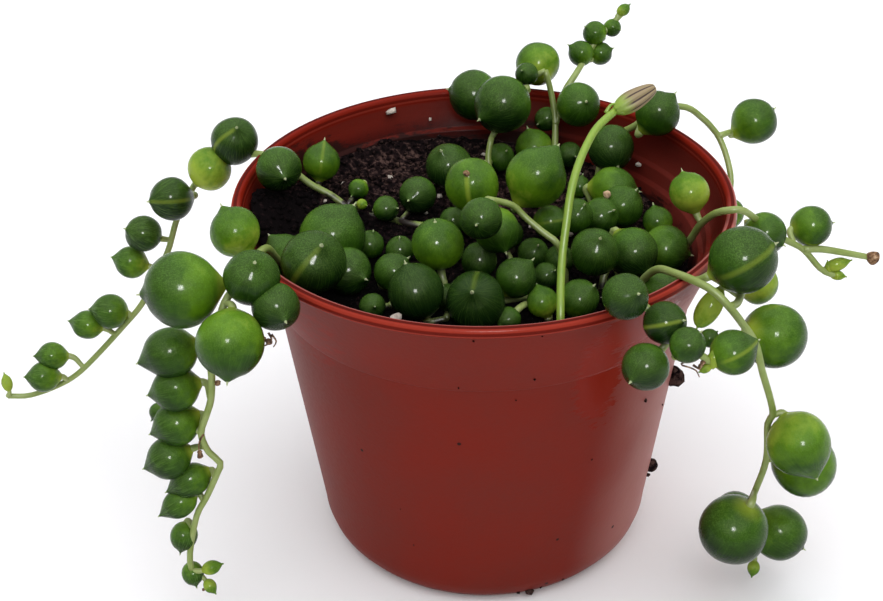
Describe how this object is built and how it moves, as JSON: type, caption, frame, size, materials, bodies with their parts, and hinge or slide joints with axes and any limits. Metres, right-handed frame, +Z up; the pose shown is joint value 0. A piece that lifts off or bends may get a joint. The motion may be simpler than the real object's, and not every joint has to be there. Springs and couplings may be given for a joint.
{
  "type": "potted string of pearls",
  "caption": "Round plastic nursery pot of soil with trailing stems of bead-like round leaves and one flower stalk, standing free on its flat foot.",
  "frame": {"origin": "centre of the pot's flat underside, on the surface that the pot stands on", "axes": "+Z up along the pot's axis, -Y towards the front with the flower stalk's root, +X towards the side where the stem with the largest pearls hangs"},
  "size_m": [0.1341, 0.0785, 0.0697],
  "materials": {
    "pot_plastic": "satin",
    "soil": "matte",
    "pearl_green": "satin",
    "stalk_green": "satin",
    "flower_head": "matte"
  },
  "bodies": {
    "root": {"pot": "pot_plastic", "soil": "soil", "strand_left_far": "pearl_green", "strand_left_near": "pearl_green", "strand_right_near": "pearl_green", "strand_right_far": "pearl_green", "strand_back_right": "pearl_green", "strand_top": "pearl_green", "strand_back": "pearl_green", "strand_middle": "pearl_green", "strand_right_over": "pearl_green", "strand_crown_left": "pearl_green", "strand_crown_front_left": "pearl_green", "strand_crown_front": "pearl_green", "strand_crown_front_right": "pearl_green", "strand_crown_right": "pearl_green", "strand_crown_back_right": "pearl_green", "flower_stalk": "stalk_green", "flower_bud": "flower_head"}
  },
  "joints": []
}
